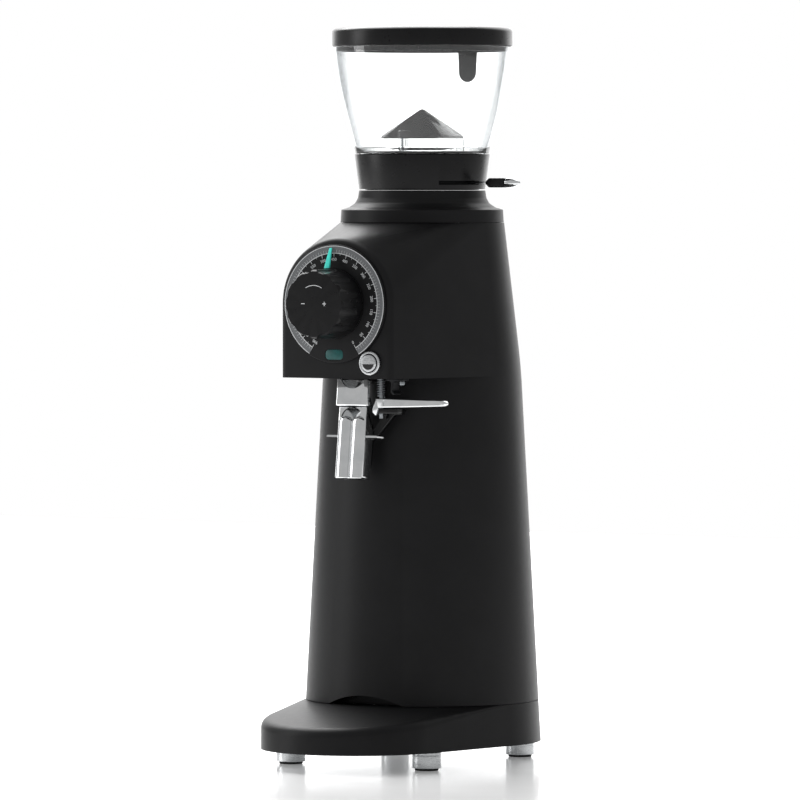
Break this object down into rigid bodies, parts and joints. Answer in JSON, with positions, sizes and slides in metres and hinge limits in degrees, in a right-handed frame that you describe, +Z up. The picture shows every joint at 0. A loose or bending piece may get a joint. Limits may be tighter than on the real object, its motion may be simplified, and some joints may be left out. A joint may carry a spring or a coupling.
{
  "type": "burr coffee grinder",
  "caption": "Tall shop burr grinder: tapering black column on a forward base, clear bean hopper with shutter, numbered grind dial and chromed bag spout.",
  "frame": {"origin": "centre of the footprint box on the surface it stands on", "axes": "+Z up, front with dial and spout towards -Y, +X to the right seen from the front"},
  "size_m": [0.214, 0.305, 0.6596],
  "materials": {
    "satin_body": "fine satin black powder coat on cast aluminium",
    "moulded_black": "smooth black moulded plastic",
    "dial_face": "matt black dial with a silver grey number ring",
    "teal": "teal plastic pointer and window",
    "clear_jar": "clear moulded plastic",
    "chrome": "polished chrome plate",
    "satin_steel": "turned satin steel",
    "hard_steel": "ground hardened steel",
    "cast_aluminium": "cast and machined aluminium",
    "laminations": "varnished steel laminations",
    "brass": "turned brass",
    "rubber": "black rubber",
    "grey_plastic": "grey electrical plastic",
    "board": "green circuit board"
  },
  "bodies": {
    "root": {"base_casting": "satin_body", "base_plate": "satin_steel", "foot_front_left": "satin_steel", "foot_front_right": "satin_steel", "foot_rear_left": "satin_steel", "foot_rear_right": "satin_steel", "pad_front_left": "rubber", "pad_front_right": "rubber", "pad_rear_left": "rubber", "pad_rear_right": "rubber", "body_shell": "satin_body", "top_cover": "satin_body", "cord_gland": "moulded_black", "dial_plate": "dial_face", "dial_window": "teal", "button_bezel": "chrome", "start_switch": "grey_plastic", "knob_bush": "brass", "burr_spring": "hard_steel", "grind_chamber": "cast_aluminium", "feed_throat": "moulded_black", "outlet_chute": "cast_aluminium", "motor_housing": "cast_aluminium", "motor_stator": "laminations", "motor_bracket": "cast_aluminium", "bearing_lower": "hard_steel", "bearing_upper": "hard_steel", "run_capacitor": "grey_plastic", "control_board": "board", "spout_block": "chrome", "spout_chute": "chrome", "clamp_pin": "hard_steel", "clamp_bracket": "satin_steel", "bracket_screw": "hard_steel", "clamp_spring": "hard_steel"},
    "hopper": {"hopper_collar": "moulded_black", "hopper_jar": "clear_jar", "guard_cap": "moulded_black", "guard_screw": "hard_steel"},
    "lid": {"hopper_lid": "moulded_black"},
    "gate": {"gate_disc": "satin_steel", "gate_lever": "satin_steel", "gate_grip": "rubber", "gate_tip": "chrome"},
    "knob": {"adjust_knob": "moulded_black", "knob_pointer": "teal", "knob_shaft": "hard_steel"},
    "ring": {"adjust_ring": "brass"},
    "upper_burr_set": {"upper_carrier": "cast_aluminium", "upper_burr": "hard_steel"},
    "drive": {"lower_burr": "hard_steel", "lower_carrier": "cast_aluminium", "carrier_nut": "hard_steel", "drive_shaft": "hard_steel", "motor_rotor": "laminations", "cooling_fan": "moulded_black"},
    "button": {"start_button": "satin_steel"},
    "clamp": {"clamp_lever": "chrome", "clamp_jaw": "moulded_black"}
  },
  "joints": [
    {"name": "hopper_lift", "type": "slide", "parent": "root", "child": "hopper", "axis": [0, 0, 1], "range_m": [0, 0.06]},
    {"name": "lid_lift", "type": "slide", "parent": "hopper", "child": "lid", "axis": [0, 0, 1], "range_m": [0, 0.05]},
    {"name": "gate_turn", "type": "hinge", "parent": "hopper", "child": "gate", "pos_m": [0, 0.0455, 0.5185], "axis": [0, 0, 1], "range_deg": [-35, 0]},
    {"name": "knob_turn", "type": "hinge", "parent": "root", "child": "knob", "pos_m": [0, -0.1025, 0.412], "axis": [0, -1, 0], "range_deg": [-153, 147]},
    {"name": "ring_turn", "type": "hinge", "parent": "root", "child": "ring", "pos_m": [0, 0.0455, 0.42], "axis": [0, 0, 1], "range_deg": [-30, 30]},
    {"name": "burr_lift", "type": "slide", "parent": "root", "child": "upper_burr_set", "axis": [0, 0, 1], "range_m": [-0.000459, 0.000441], "deforming": ["burr_spring"]},
    {"name": "drive_spin", "type": "hinge", "parent": "root", "child": "drive", "pos_m": [0, 0.0455, 0.2], "axis": [0, 0, 1], "continuous": true},
    {"name": "button_press", "type": "slide", "parent": "root", "child": "button", "axis": [0, 1, 0], "range_m": [0, 0.002], "stiffness_N_per_m": 600, "springref_m": -0.001},
    {"name": "clamp_turn", "type": "hinge", "parent": "root", "child": "clamp", "pos_m": [0.025, -0.0665, 0.32], "axis": [0, 0, -1], "range_deg": [0, 16], "stiffness_Nm_per_rad": 0.4, "springref_deg": -17.19}
  ],
  "couplings": [
    {"joint": "knob_turn", "follows": "burr_lift", "rad_per_m": 5814},
    {"joint": "ring_turn", "follows": "burr_lift", "rad_per_m": -1057.1}
  ]
}
